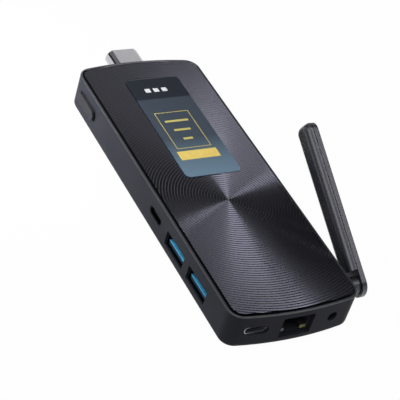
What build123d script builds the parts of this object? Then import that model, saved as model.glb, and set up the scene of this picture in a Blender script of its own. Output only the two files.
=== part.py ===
from build123d import *
import os
from math import ceil, cos, hypot, radians, sin

os.makedirs("parts", exist_ok=True)

# Stick computer with a video plug on one end and a folding antenna on its right side.
# Millimetres. X runs across the case, Y along it with the plug at +Y, Z up.
# The origin is the middle of the flat underside.

# Case
case_width = 52.0
case_length = 139.7
rim_height = 15.3  # underside to the top of the rim
end_bow = 2.5  # how far the middle of each end stands out past its corners
corner_radius = 5.6
bottom_round = 2.6
wall = 2.0
floor_thickness = 1.8

# Shared clearances
overrun = 2.0  # how far a cut runs past what it cuts
seat_gap = 0.15  # round a still piece in its opening
snug_gap = 0.03  # between two pieces pressed together
run_gap = 0.05  # round a shaft that turns or a rod that slides

half_width = case_width / 2
half_length = case_length / 2
end_depth = wall + end_bow  # a cut this deep goes through a bowed end wall anywhere

# Ringed top cover
rim_width = 0.9
rim_round_share = 0.4  # of the rim width, on both top edges
cover_gap = 0.6  # dark line between rim and cover
ledge_depth = 0.9  # rim top down to the ledge that carries the cover
cover_proud = 0.5  # ring crests above the rim
ring_pitch = 1.115
ring_depth = 0.25
ring_width_share = 0.85  # groove width in pitches
ring_centre_y_share = -0.0945  # of the case length
rim_round = rim_round_share * rim_width
ledge_height = rim_height - ledge_depth
cover_top = rim_height + cover_proud
cover_inset = rim_width + cover_gap
ring_y = ring_centre_y_share * case_length

# Label on the cover
label_width = 23.2
label_length = 57.0
label_thickness = 0.25
label_corner = 2.0
label_x_share = 0.025  # of the case width
label_y_share = 0.207  # of the case length
label_x = label_x_share * case_width
label_y = label_y_share * case_length

# Main board
board_bottom = 5.7
board_thickness = 1.2
board_margin = 0.6  # board edge to the case wall
board_top = board_bottom + board_thickness

# Screws: M2 machine screws, named shank, head and the posts that they hold
screw_radius = 0.95
screw_head_radius = 1.8
screw_head_height = 1.1
socket_radius = 0.75  # hexagon recess in the head, across corners / 2
socket_depth = 0.6
boss_wall = 1.3

# Cover screws go up from the underside into posts under the cover
cover_screw_shares = ((-0.375, -0.385), (0.375, -0.374), (-0.27, 0.445), (0.27, 0.445))
cover_screw_reach = 8.2
cover_screw_sink = 0.5  # head below the underside
cover_post_radius = screw_radius + boss_wall
cover_boss_radius = screw_head_radius + boss_wall
cover_boss_top_share = 0.55  # of the board thickness, below the board
cover_boss_top = board_bottom - cover_boss_top_share * board_thickness
cover_screw_places = [(x * case_width, y * case_length) for x, y in cover_screw_shares]

# Board screws go down through the board into standoffs on the floor
board_screw_shares = ((-0.39, 0.235), (0.39, 0.235), (0.39, -0.2), (-0.135, -0.25))
board_screw_reach = 3.2
standoff_radius = screw_radius + boss_wall
board_screw_places = [(x * case_width, y * case_length) for x, y in board_screw_shares]

# Threaded inserts for a bracket, in the underside
insert_radius = 2.1
insert_bore_radius = 1.25  # tapped M3
insert_length = 2.8
bracket_spacing_x = 30.0
bracket_spacing_y = 84.0
insert_roof = 0.9
insert_boss_height = insert_length + insert_roof
insert_places = [
    (x * bracket_spacing_x / 2, y * bracket_spacing_y / 2) for x in (-1, 1) for y in (-1, 1)
]

# Vent slots in the floor
vent_length = 13.0
vent_width = 1.6
vent_pitch = 4.0
vent_rows = 6
vent_x_share = 0.17
vent_y_shares = (-0.15, 0.15)

# USB type A receptacles on the left side
usb_a_width = 13.1  # outside of the metal shell
usb_a_height = 5.72
usb_a_depth = 14.0
usb_a_sheet = 0.3
usb_a_round = 0.5
usb_a_z = 7.1
usb_a_recess = 0.6  # shell mouth behind the outer face of the wall
usb_a_mouth_width = 14.0
usb_a_mouth_height = 5.9
usb_a_y_shares = (-0.1835, -0.31)
usb_a_tongue_width = 11.1
usb_a_tongue_thickness = 1.84
usb_a_tongue_lift = 0.65  # above the shell floor
usb_a_tongue_set_back = 0.5  # behind the shell mouth
usb_a_block_depth = 3.6
usb_a_contact_width = 1.0
usb_a_contact_thickness = 0.2
usb_a_contact_shares = (-0.315, -0.09, 0.09, 0.315)  # of the tongue width
usb_a_places = [share * case_length for share in usb_a_y_shares]
usb_a_mouth_x = -half_width + usb_a_recess

# USB type C receptacles, one on the left side and one on the near end
usb_c_width = 8.94
usb_c_height = 3.26
usb_c_depth = 7.6
usb_c_sheet = 0.25
usb_c_z = board_top + usb_c_height / 2
usb_c_mouth_gap = 0.2  # wall opening round the shell
usb_c_recess = 0.1  # shell mouth behind the outer face of the wall
usb_c_tongue_width = 6.6
usb_c_tongue_thickness = 0.7
usb_c_tongue_set_back = 1.0
usb_c_block_depth = 1.6
usb_c_side_y_share = -0.0655
usb_c_end_x_share = -0.302
usb_c_side_y = usb_c_side_y_share * case_length
usb_c_end_x = usb_c_end_x_share * case_width

# Ethernet jack on the near end
ethernet_width = 14.4
ethernet_height = 10.3
ethernet_depth = 16.0
ethernet_sheet = 0.25
ethernet_z = 8.1
ethernet_x_share = 0.005
ethernet_bow_share = 0.1  # the bow of the end at the jack's outer edge
ethernet_mouth_width = 12.7
ethernet_mouth_height = 9.1
ethernet_cavity_width = 11.7
ethernet_cavity_height = 6.7
ethernet_cavity_depth = 12.6
ethernet_latch_width = 6.2
ethernet_latch_height = 1.75
ethernet_floor = 0.7  # body under the latch slot
ethernet_contact_count = 8
ethernet_contact_pitch = 1.02
ethernet_contact_width = 0.45
ethernet_contact_length = 7.5
ethernet_lamp_width = 2.3
ethernet_lamp_height = 1.5
ethernet_lamp_depth = 3.0
ethernet_x = ethernet_x_share * case_width
ethernet_mouth_y = -half_length + wall + ethernet_bow_share * end_bow

# Headphone jack on the near end
audio_bore_radius = 1.8
audio_mouth_radius = 2.0
audio_width = 6.4
audio_height = 5.2
audio_depth = 11.0
audio_lining = 0.35  # metal ring at the mouth of the bore
audio_lining_depth = 1.2
audio_x_share = 0.29
audio_bow_share = 0.54  # the bow of the end at the jack's outer edge
audio_z = 8.4
audio_x = audio_x_share * case_width
audio_mouth_y = -half_length + wall + audio_bow_share * end_bow

# Video plug on the far end
plug_width = 13.9
plug_height = 4.45
plug_reach = 14.0  # past the end of the case
plug_length = 22.5
plug_sheet = 0.35
plug_x_share = 0.044
plug_z = 8.18
plug_outline_shares = ((0.676, 0.5), (0.914, 0.23), (1.0, -0.2), (1.0, -0.5))
plug_seam_width = 0.45
plug_seam_depth = 0.2
plug_block_set_back = 0.6
plug_slot_width = 11.2
plug_slot_height = 1.5
plug_slot_depth = 9.0
plug_contact_width = 0.45
plug_contact_thickness = 0.2
plug_contact_pitch = 1.0
plug_contact_counts = (9, 10)
plug_x = plug_x_share * case_width
plug_tip_y = half_length + plug_reach

# Power button on the left side
button_length = 14.4
button_height = 4.3
button_proud = 1.15
button_gap = 0.3
button_flange = 0.9  # flange past the button all round, inside the case
button_flange_thickness = 0.8
button_pad = 3.4
button_travel = 0.35
button_round = 0.25
button_y_share = 0.3845
button_z = 8.65
light_radius = 0.4
light_shift = 4.3  # light to the middle of the button
light_rise = 0.5
button_y = button_y_share * case_length
button_face_x = -half_width - button_proud
button_flange_x = -half_width + wall + run_gap
light_y = button_y - light_shift
light_z = button_z + light_rise
button_clear_x = button_flange_x + button_flange_thickness + button_travel + seat_gap

# Tact switch behind the button
switch_width = 5.0
switch_depth = 4.2
switch_height = 3.6
switch_x_share = -0.38  # front face, of the case width
plunger_radius = 0.9
plunger_length = 2.2
plunger_reach = 0.9  # out of the switch at rest
switch_x = switch_x_share * case_width

# Antenna on the right side
antenna_rise = 27.8  # degrees above the long axis, as shown
antenna_pivot_y_share = -0.4166
antenna_pivot_z = 9.4
paddle_width = 8.8
paddle_length = 66.6
paddle_tip_round = 3.4
paddle_slab = 2.2
paddle_dome = 2.8
paddle_shoulder = 0.25  # step between dome and slab
paddle_stand_off = 5.2  # case side to the slab
paddle_outer_round = 0.5
hinge_clear = 4.8  # pivot to the end of the dome
back_cover_inset = 1.1
back_cover_thickness = 0.6
element_width = 5.2
element_thickness = 0.3
element_pocket_depth = 0.7
hub_radius = 2.2  # through the wall
hub_boss_radius = 3.4  # between wall and paddle
hub_inner_reach = 1.8
pin_radius = 0.9
pin_head_radius = 1.9
pin_head_thickness = 0.5
washer_radius = 2.8
washer_thickness = 0.2
clip_radius = 1.7
clip_thickness = 0.5
pivot_y = antenna_pivot_y_share * case_length
slab_x = half_width + paddle_stand_off

# Chips, heat sink and small parts on the board
chip_size = 24.0
chip_height = 0.9
die_width = 9.0
die_length = 11.0
die_height = 0.9
chip_y_share = 0.155
pad_overhang = 1.0
pad_thickness = 0.8
memory_width = 10.0
memory_length = 13.0
memory_height = 1.0
memory_x_share = 0.125
memory_y_share = 0.015
storage_width = 11.5
storage_length = 9.0
storage_height = 1.0
storage_y_share = 0.29
sink_width = 34.0
sink_length = 48.0
sink_base = 1.6
sink_gap = 0.3  # fins to the cover
sink_fin = 1.2
sink_fin_count = 9
sink_y_share = 0.145
sink_foot_inset = 2.6
sink_foot_wall = 1.04  # round the screw
sink_screw_reach = 3.4
coil_size = 5.0
coil_height = 2.3
coil_corner = 0.6
coil_x_share = 0.37
coil_y_shares = (-0.14, -0.088, -0.036)
cell_radius = 10.0
cell_height = 3.2
cell_x_share = 0.06
cell_y_share = -0.155
holder_wall = 1.1
holder_floor = 0.5
holder_height = 2.2
radio_width = 12.0
radio_length = 16.0
radio_thickness = 0.8
radio_x_share = 0.245
radio_y_share = -0.295
radio_can_share = 0.68
radio_can_height = 1.3
radio_can_inset = 0.6
lead_radius = 0.57
lead_plug_radius = 1.1
lead_plug_height = 1.3
lead_wall_gap = 0.5  # lead to the case wall
lead_bend = 1.5
lead_reach = 0.8  # lead into the side of the hub
led_width = 1.6
led_depth = 0.8
led_height = 0.6
chip_y = chip_y_share * case_length
memory_y = memory_y_share * case_length
storage_y = storage_y_share * case_length
sink_y = sink_y_share * case_length
cell_x = cell_x_share * case_width
cell_y = cell_y_share * case_length
radio_x = radio_x_share * case_width
radio_y = radio_y_share * case_length
die_top = board_top + chip_height + die_height
sink_bottom = die_top + pad_thickness
sink_foot_radius = screw_radius + sink_foot_wall
sink_foot_places = [
    (x * (sink_width / 2 - sink_foot_inset), sink_y + y * (sink_length / 2 - sink_foot_inset))
    for x in (-1, 1)
    for y in (-1, 1)
]


def case_outline(inset=0):
    """Outline of the case seen from above: straight sides, bowed ends, round corners."""
    corner_y = half_length - end_bow
    with BuildSketch() as outline:
        with BuildLine():
            Line((half_width, -corner_y), (half_width, corner_y))
            ThreePointArc((half_width, corner_y), (0, half_length), (-half_width, corner_y))
            Line((-half_width, corner_y), (-half_width, -corner_y))
            ThreePointArc((-half_width, -corner_y), (0, -half_length), (half_width, -corner_y))
        make_face()
        fillet(outline.vertices(), corner_radius)
        if inset:
            offset(amount=-inset)
    return outline.sketch


def plug_outline(grow=0):
    """Section of the video plug: narrow flat on top, bevels, wide flat below."""
    right = [(x * plug_width / 2, z * plug_height) for x, z in plug_outline_shares]
    left = [(-x, z) for x, z in reversed(right)]
    with BuildSketch() as outline:
        with BuildLine():
            Polyline(*right, *left, close=True)
        make_face()
        if grow:
            offset(amount=grow, kind=Kind.INTERSECTION)
    return outline.sketch


def paddle_outline(inset=0):
    """Outline of the antenna paddle about its pivot: round base, straight sides, blunt tip."""
    base_radius = paddle_width / 2
    with BuildSketch() as outline:
        Circle(base_radius)
        Rectangle(paddle_length - base_radius, paddle_width, align=(Align.MIN, Align.CENTER))
        fillet(outline.vertices().sort_by(Axis.X)[-2:], paddle_tip_round)
        if inset:
            offset(amount=-inset)
    return outline.sketch


def paddle_plane(out=0):
    """Plane of the paddle, X along it and Y across it, a distance outside the slab's inner face."""
    rise = radians(antenna_rise)
    return Plane(
        origin=(slab_x + out, pivot_y, antenna_pivot_z),
        x_dir=(0, cos(rise), sin(rise)),
        z_dir=(1, 0, 0),
    )


# Lower shell: floor and walls in one moulding, with every port opening
with BuildPart() as lower_shell:
    with BuildSketch():
        add(case_outline())
    extrude(amount=rim_height)
    fillet(lower_shell.edges().group_by(Axis.Z)[0], bottom_round)
    with BuildSketch(Plane.XY.offset(floor_thickness)):
        add(case_outline(wall))
    extrude(amount=rim_height, mode=Mode.SUBTRACT)
    with BuildSketch(Plane.XY.offset(ledge_height)):
        add(case_outline(rim_width))
    extrude(amount=rim_height, mode=Mode.SUBTRACT)
    fillet(lower_shell.edges().group_by(Axis.Z)[-1], rim_round)
    with BuildSketch(Plane.XY.offset(floor_thickness)):
        with Locations(*cover_screw_places):
            Circle(cover_boss_radius)
    extrude(amount=cover_boss_top - floor_thickness)
    with BuildSketch(Plane.XY.offset(floor_thickness)):
        with Locations(*board_screw_places):
            Circle(standoff_radius)
    extrude(amount=board_bottom - floor_thickness)
    with BuildSketch(Plane.XY.offset(floor_thickness)):
        with Locations(*insert_places):
            Circle(insert_radius + boss_wall)
    extrude(amount=insert_boss_height - floor_thickness)
    with BuildSketch():
        with Locations(*cover_screw_places):
            Circle(screw_head_radius + seat_gap)
    extrude(amount=cover_screw_sink + screw_head_height, mode=Mode.SUBTRACT)
    with BuildSketch():
        with Locations(*cover_screw_places):
            Circle(screw_radius + seat_gap)
    extrude(amount=cover_boss_top + overrun, mode=Mode.SUBTRACT)
    with BuildSketch(Plane.XY.offset(board_bottom)):
        with Locations(*board_screw_places):
            Circle(screw_radius + snug_gap)
    extrude(amount=-(board_screw_reach + snug_gap), mode=Mode.SUBTRACT)
    with BuildSketch():
        with Locations(*insert_places):
            Circle(insert_radius + snug_gap)
    extrude(amount=insert_length + snug_gap, mode=Mode.SUBTRACT)
    for share in vent_y_shares:
        with BuildSketch():
            for side in (-1, 1):
                with Locations((side * vent_x_share * case_width, share * case_length)):
                    with GridLocations(0, vent_pitch, 1, vent_rows):
                        SlotOverall(vent_length, vent_width)
        extrude(amount=floor_thickness, mode=Mode.SUBTRACT)
    with BuildSketch(Plane.YZ.offset(-half_width - overrun)):
        for y in usb_a_places:
            with Locations((y, usb_a_z)):
                RectangleRounded(usb_a_mouth_width, usb_a_mouth_height, usb_a_round)
        with Locations((usb_c_side_y, usb_c_z)):
            SlotOverall(usb_c_width + 2 * usb_c_mouth_gap, usb_c_height + 2 * usb_c_mouth_gap)
        with Locations((button_y, button_z)):
            SlotOverall(button_length + 2 * button_gap, button_height + 2 * button_gap)
    extrude(amount=overrun + wall + run_gap, mode=Mode.SUBTRACT)
    with BuildSketch(Plane.YZ.offset(half_width - wall - run_gap)):
        with Locations((pivot_y, antenna_pivot_z)):
            Circle(hub_radius + snug_gap)
    extrude(amount=wall + overrun, mode=Mode.SUBTRACT)
    with BuildSketch(Plane.XZ.offset(half_length - end_depth)):
        with Locations((usb_c_end_x, usb_c_z)):
            SlotOverall(usb_c_width + 2 * usb_c_mouth_gap, usb_c_height + 2 * usb_c_mouth_gap)
        with Locations((ethernet_x, ethernet_z)):
            RectangleRounded(ethernet_mouth_width, ethernet_mouth_height, usb_a_round)
        with Locations((audio_x, audio_z)):
            Circle(audio_mouth_radius)
    extrude(amount=end_depth + overrun, mode=Mode.SUBTRACT)
    with BuildSketch(Plane.XZ.offset(-half_length - overrun)):
        with Locations((plug_x, plug_z)):
            add(plug_outline(seat_gap))
    extrude(amount=end_depth + overrun, mode=Mode.SUBTRACT)
lower_shell.part.label = "lower_shell"
export_step(lower_shell.part, "parts/lower_shell.step")

# Top cover: a plate with concentric ridges, and the posts that its screws pull on
ring_reach = hypot(half_width, half_length + abs(ring_y))
ring_count = ceil(ring_reach / ring_pitch)
with BuildPart() as top_cover:
    with BuildSketch(Plane.XY.offset(ledge_height)):
        add(case_outline(cover_inset))
    extrude(amount=cover_top - ledge_height)
    with BuildSketch(Plane(origin=(0, ring_y, cover_top), x_dir=(1, 0, 0), z_dir=(0, -1, 0))):
        for ring in range(1, ring_count):
            groove_half = ring_pitch * ring_width_share / 2
            middle = ring * ring_pitch
            with BuildLine():
                Polyline(
                    (middle - groove_half, 0),
                    (middle, -ring_depth),
                    (middle + groove_half, 0),
                    close=True,
                )
            make_face()
    revolve(axis=Axis((0, ring_y, 0), (0, 0, 1)), mode=Mode.SUBTRACT)
    with BuildSketch(Plane.XY.offset(ledge_height)):
        with Locations(*cover_screw_places):
            Circle(cover_post_radius)
    extrude(amount=-(ledge_height - cover_boss_top))
    with BuildSketch(Plane.XY.offset(cover_boss_top)):
        with Locations(*cover_screw_places):
            Circle(screw_radius + snug_gap)
    extrude(amount=cover_screw_reach - cover_boss_top + overrun, mode=Mode.SUBTRACT)
top_cover.part.label = "top_cover"
export_step(top_cover.part, "parts/top_cover.step")

# Label: a thin plastic sheet on the ring crests
with BuildPart() as cover_label:
    with BuildSketch(Plane.XY.offset(cover_top)):
        with Locations((label_x, label_y)):
            RectangleRounded(label_width, label_length, label_corner)
    extrude(amount=label_thickness)
cover_label.part.label = "cover_label"
export_step(cover_label.part, "parts/cover_label.step")

# Main board, notched where connectors sink through it
with BuildPart() as main_board:
    with BuildSketch(Plane.XY.offset(board_bottom)):
        add(case_outline(wall + board_margin))
        for y in usb_a_places:
            with Locations((-half_width, y)):
                Rectangle(
                    usb_a_recess + usb_a_depth + seat_gap,
                    usb_a_width + 2 * seat_gap,
                    align=(Align.MIN, Align.CENTER),
                    mode=Mode.SUBTRACT,
                )
        with Locations((ethernet_x, -half_length)):
            Rectangle(
                ethernet_width + 2 * seat_gap,
                ethernet_mouth_y + half_length + ethernet_depth + seat_gap,
                align=(Align.CENTER, Align.MIN),
                mode=Mode.SUBTRACT,
            )
        with Locations((audio_x, -half_length)):
            Rectangle(
                audio_width + 2 * seat_gap,
                audio_mouth_y + half_length + audio_depth + seat_gap,
                align=(Align.CENTER, Align.MIN),
                mode=Mode.SUBTRACT,
            )
        with Locations((-half_width, button_y)):
            Rectangle(
                button_clear_x + half_width,
                button_length + 2 * (button_gap + button_flange + seat_gap),
                align=(Align.MIN, Align.CENTER),
                mode=Mode.SUBTRACT,
            )
        with Locations((plug_x, half_length)):
            Rectangle(
                plug_width + 2 * seat_gap,
                plug_length - plug_reach + seat_gap,
                align=(Align.CENTER, Align.MAX),
                mode=Mode.SUBTRACT,
            )
        with Locations(*cover_screw_places):
            Circle(cover_post_radius + seat_gap, mode=Mode.SUBTRACT)
        with Locations(*board_screw_places, *sink_foot_places):
            Circle(screw_radius + seat_gap, mode=Mode.SUBTRACT)
    extrude(amount=board_thickness)
main_board.part.label = "main_board"
export_step(main_board.part, "parts/main_board.step")


# Screws: pan head with a hexagon recess, shank along +Z from the given head side
def place_screws(places, seat_z, reach, upward):
    """Screws whose heads bear on a plane at seat_z, pointing up or down."""
    way = 1 if upward else -1
    with BuildPart() as screws:
        with BuildSketch(Plane.XY.offset(seat_z)):
            with Locations(*places):
                Circle(screw_head_radius)
        extrude(amount=-way * screw_head_height)
        with BuildSketch(Plane.XY.offset(seat_z)):
            with Locations(*places):
                Circle(screw_radius)
        extrude(amount=way * reach)
        with BuildSketch(Plane.XY.offset(seat_z - way * screw_head_height)):
            with Locations(*places):
                RegularPolygon(socket_radius, 6)
        extrude(amount=way * socket_depth, mode=Mode.SUBTRACT)
    return screws


cover_screws = place_screws(
    cover_screw_places,
    cover_screw_sink + screw_head_height,
    cover_screw_reach - cover_screw_sink - screw_head_height,
    True,
)
cover_screws.part.label = "cover_screws"
export_step(cover_screws.part, "parts/cover_screws.step")

board_screws = place_screws(
    board_screw_places, board_top, board_thickness + board_screw_reach, False
)
board_screws.part.label = "board_screws"
export_step(board_screws.part, "parts/board_screws.step")

sink_screws = place_screws(sink_foot_places, board_bottom, sink_screw_reach, True)
sink_screws.part.label = "sink_screws"
export_step(sink_screws.part, "parts/sink_screws.step")

# Brass inserts with an M3 thread, open at the underside
with BuildPart() as bracket_inserts:
    with BuildSketch():
        with Locations(*insert_places):
            Circle(insert_radius)
            Circle(insert_bore_radius, mode=Mode.SUBTRACT)
    extrude(amount=insert_length)
bracket_inserts.part.label = "bracket_inserts"
export_step(bracket_inserts.part, "parts/bracket_inserts.step")

# Processor: substrate and die
with BuildPart() as processor:
    with BuildSketch(Plane.XY.offset(board_top)):
        with Locations((0, chip_y)):
            Rectangle(chip_size, chip_size)
    extrude(amount=chip_height)
    with BuildSketch(Plane.XY.offset(board_top + chip_height)):
        with Locations((0, chip_y)):
            Rectangle(die_width, die_length)
    extrude(amount=die_height)
processor.part.label = "processor"
export_step(processor.part, "parts/processor.step")

with BuildPart() as thermal_pad:
    with BuildSketch(Plane.XY.offset(die_top)):
        with Locations((0, chip_y)):
            Rectangle(die_width + 2 * pad_overhang, die_length + 2 * pad_overhang)
    extrude(amount=pad_thickness)
thermal_pad.part.label = "thermal_pad"
export_step(thermal_pad.part, "parts/thermal_pad.step")

# Heat sink: base, feet on the board and fins that end just under the cover
with BuildPart() as heat_sink:
    with BuildSketch(Plane.XY.offset(sink_bottom)):
        with Locations((0, sink_y)):
            Rectangle(sink_width, sink_length)
    extrude(amount=sink_base)
    with BuildSketch(Plane.XY.offset(sink_bottom + sink_base)):
        with Locations((0, sink_y)):
            with GridLocations((sink_width - sink_fin) / (sink_fin_count - 1), 0, sink_fin_count, 1):
                Rectangle(sink_fin, sink_length)
    extrude(amount=ledge_height - sink_gap - sink_bottom - sink_base)
    with BuildSketch(Plane.XY.offset(board_top)):
        with Locations(*sink_foot_places):
            Circle(sink_foot_radius)
    extrude(amount=sink_bottom - board_top)
    with BuildSketch(Plane.XY.offset(board_top)):
        with Locations(*sink_foot_places):
            Circle(screw_radius + snug_gap)
    extrude(amount=sink_screw_reach - board_thickness + snug_gap, mode=Mode.SUBTRACT)
heat_sink.part.label = "heat_sink"
export_step(heat_sink.part, "parts/heat_sink.step")

with BuildPart() as memory_chips:
    with BuildSketch(Plane.XY.offset(board_top)):
        for side in (-1, 1):
            with Locations((side * memory_x_share * case_width, memory_y)):
                Rectangle(memory_width, memory_length)
    extrude(amount=memory_height)
memory_chips.part.label = "memory_chips"
export_step(memory_chips.part, "parts/memory_chips.step")

with BuildPart() as storage_chip:
    with BuildSketch(Plane.XY.offset(board_top)):
        with Locations((0, storage_y)):
            Rectangle(storage_width, storage_length)
    extrude(amount=storage_height)
storage_chip.part.label = "storage_chip"
export_step(storage_chip.part, "parts/storage_chip.step")

with BuildPart() as power_coils:
    with BuildSketch(Plane.XY.offset(board_top)):
        for share in coil_y_shares:
            with Locations((coil_x_share * case_width, share * case_length)):
                RectangleRounded(coil_size, coil_size, coil_corner)
    extrude(amount=coil_height)
power_coils.part.label = "power_coils"
export_step(power_coils.part, "parts/power_coils.step")

# Clock battery in its holder
with BuildPart() as battery_holder:
    with BuildSketch(Plane.XY.offset(board_top)):
        with Locations((cell_x, cell_y)):
            Circle(cell_radius + seat_gap + holder_wall)
    extrude(amount=holder_height)
    with BuildSketch(Plane.XY.offset(board_top + holder_floor)):
        with Locations((cell_x, cell_y)):
            Circle(cell_radius + seat_gap)
    extrude(amount=holder_height, mode=Mode.SUBTRACT)
battery_holder.part.label = "battery_holder"
export_step(battery_holder.part, "parts/battery_holder.step")

with BuildPart() as clock_battery:
    with BuildSketch(Plane.XY.offset(board_top + holder_floor)):
        with Locations((cell_x, cell_y)):
            Circle(cell_radius)
    extrude(amount=cell_height)
    chamfer(clock_battery.edges().group_by(Axis.Z)[-1], seat_gap)
clock_battery.part.label = "clock_battery"
export_step(clock_battery.part, "parts/clock_battery.step")

# Radio module, its shield can and the antenna lead
with BuildPart() as radio_module:
    with BuildSketch(Plane.XY.offset(board_top)):
        with Locations((radio_x, radio_y)):
            Rectangle(radio_width, radio_length)
    extrude(amount=radio_thickness)
radio_module.part.label = "radio_module"
export_step(radio_module.part, "parts/radio_module.step")

radio_top = board_top + radio_thickness
can_length = radio_length * radio_can_share
can_y = radio_y + (radio_length - can_length) / 2 - radio_can_inset
with BuildPart() as radio_shield:
    with BuildSketch(Plane.XY.offset(radio_top)):
        with Locations((radio_x, can_y)):
            Rectangle(radio_width - 2 * radio_can_inset, can_length)
    extrude(amount=radio_can_height)
radio_shield.part.label = "radio_shield"
export_step(radio_shield.part, "parts/radio_shield.step")

lead_plug_x = radio_x + radio_width / 2 - lead_plug_radius - radio_can_inset
lead_plug_y = radio_y - radio_length / 2 + lead_plug_radius + radio_can_inset
with BuildPart() as lead_plug:
    with BuildSketch(Plane.XY.offset(radio_top)):
        with Locations((lead_plug_x, lead_plug_y)):
            Circle(lead_plug_radius)
    extrude(amount=lead_plug_height)
lead_plug.part.label = "lead_plug"
export_step(lead_plug.part, "parts/lead_plug.step")

lead_z = radio_top + lead_plug_height / 2
lead_lane_x = half_width - wall - lead_wall_gap - lead_radius
lead_end_y = pivot_y + hub_radius - lead_reach
with BuildPart() as antenna_lead:
    with BuildLine() as lead_route:
        FilletPolyline(
            (lead_plug_x + lead_plug_radius, lead_plug_y, lead_z),
            (lead_lane_x, lead_plug_y, lead_z),
            (lead_lane_x, lead_end_y, lead_z),
            radius=lead_bend,
        )
    with BuildSketch(Plane(origin=lead_route.line @ 0, z_dir=lead_route.line % 0)):
        Circle(lead_radius)
    sweep()
antenna_lead.part.label = "antenna_lead"
export_step(antenna_lead.part, "parts/antenna_lead.step")

# Receptacles, type A: metal shell, tongue on its block, contacts on the tongue
usb_a_floor = usb_a_z - usb_a_height / 2 + usb_a_sheet
usb_a_tongue_z = usb_a_floor + usb_a_tongue_lift + usb_a_tongue_thickness / 2
usb_a_back_x = usb_a_mouth_x + usb_a_depth
for number, y in enumerate(usb_a_places, 1):
    with BuildPart() as usb_a_shell:
        with BuildSketch(Plane.YZ.offset(usb_a_mouth_x)):
            with Locations((y, usb_a_z)):
                RectangleRounded(usb_a_width, usb_a_height, usb_a_round)
                RectangleRounded(
                    usb_a_width - 2 * usb_a_sheet,
                    usb_a_height - 2 * usb_a_sheet,
                    usb_a_round - usb_a_sheet / 2,
                    mode=Mode.SUBTRACT,
                )
        extrude(amount=usb_a_depth)
    usb_a_shell.part.label = f"usb_a_shell_{number}"
    export_step(usb_a_shell.part, f"parts/usb_a_shell_{number}.step")

    with BuildPart() as usb_a_tongue:
        with BuildSketch(Plane.YZ.offset(usb_a_mouth_x + usb_a_tongue_set_back)):
            with Locations((y, usb_a_tongue_z)):
                Rectangle(usb_a_tongue_width, usb_a_tongue_thickness)
        extrude(amount=usb_a_depth - usb_a_tongue_set_back)
        with BuildSketch(Plane.YZ.offset(usb_a_back_x - usb_a_block_depth)):
            with Locations((y, usb_a_z)):
                RectangleRounded(
                    usb_a_width - 2 * usb_a_sheet - 2 * snug_gap,
                    usb_a_height - 2 * usb_a_sheet - 2 * snug_gap,
                    usb_a_round - usb_a_sheet / 2,
                )
        extrude(amount=usb_a_block_depth)
    usb_a_tongue.part.label = f"usb_a_tongue_{number}"
    export_step(usb_a_tongue.part, f"parts/usb_a_tongue_{number}.step")

    with BuildPart() as usb_a_contacts:
        contact_front = usb_a_mouth_x + usb_a_tongue_set_back + usb_a_contact_width
        with BuildSketch(Plane.YZ.offset(contact_front)):
            for share in usb_a_contact_shares:
                contact_z = usb_a_tongue_z + usb_a_tongue_thickness / 2
                with Locations((y + share * usb_a_tongue_width, contact_z)):
                    Rectangle(
                        usb_a_contact_width,
                        usb_a_contact_thickness,
                        align=(Align.CENTER, Align.MIN),
                    )
        extrude(amount=usb_a_back_x - usb_a_block_depth - contact_front)
    usb_a_contacts.part.label = f"usb_a_contacts_{number}"
    export_step(usb_a_contacts.part, f"parts/usb_a_contacts_{number}.step")

# Receptacles, type C: the same pieces in a shell with round ends
usb_c_end_drop = end_bow * ((abs(usb_c_end_x) + usb_c_width / 2) / half_width) ** 2
usb_c_side_plane = Plane(
    origin=(-half_width + usb_c_recess, usb_c_side_y, usb_c_z), x_dir=(0, 1, 0), z_dir=(1, 0, 0)
)
usb_c_end_plane = Plane(
    origin=(usb_c_end_x, -half_length + usb_c_recess + usb_c_end_drop, usb_c_z),
    x_dir=(-1, 0, 0),
    z_dir=(0, 1, 0),
)
for place, mouth in (("side", usb_c_side_plane), ("end", usb_c_end_plane)):
    with BuildPart() as usb_c_shell:
        with BuildSketch(mouth):
            SlotOverall(usb_c_width, usb_c_height)
            SlotOverall(
                usb_c_width - 2 * usb_c_sheet, usb_c_height - 2 * usb_c_sheet, mode=Mode.SUBTRACT
            )
        extrude(amount=usb_c_depth)
    usb_c_shell.part.label = f"usb_c_shell_{place}"
    export_step(usb_c_shell.part, f"parts/usb_c_shell_{place}.step")

    with BuildPart() as usb_c_tongue:
        with BuildSketch(mouth.offset(usb_c_tongue_set_back)):
            Rectangle(usb_c_tongue_width, usb_c_tongue_thickness)
        extrude(amount=usb_c_depth - usb_c_tongue_set_back)
        with BuildSketch(mouth.offset(usb_c_depth - usb_c_block_depth)):
            SlotOverall(
                usb_c_width - 2 * usb_c_sheet - 2 * snug_gap,
                usb_c_height - 2 * usb_c_sheet - 2 * snug_gap,
            )
        extrude(amount=usb_c_block_depth)
    usb_c_tongue.part.label = f"usb_c_tongue_{place}"
    export_step(usb_c_tongue.part, f"parts/usb_c_tongue_{place}.step")

# Ethernet jack: shield, body with plug cavity and latch slot, contacts, lamp windows
jack_plane = Plane(
    origin=(ethernet_x, ethernet_mouth_y, ethernet_z), x_dir=(-1, 0, 0), z_dir=(0, 1, 0)
)
body_width = ethernet_width - 2 * ethernet_sheet - 2 * snug_gap
body_height = ethernet_height - 2 * ethernet_sheet - 2 * snug_gap
latch_bottom = -body_height / 2 + ethernet_floor
cavity_bottom = latch_bottom + ethernet_latch_height
lamp_x = (ethernet_latch_width + ethernet_lamp_width) / 2 + ethernet_sheet
lamp_z = latch_bottom + ethernet_lamp_height / 2
with BuildPart() as ethernet_shield:
    with BuildSketch(jack_plane):
        Rectangle(ethernet_width, ethernet_height)
        Rectangle(
            ethernet_width - 2 * ethernet_sheet,
            ethernet_height - 2 * ethernet_sheet,
            mode=Mode.SUBTRACT,
        )
    extrude(amount=ethernet_depth)
ethernet_shield.part.label = "ethernet_shield"
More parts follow.
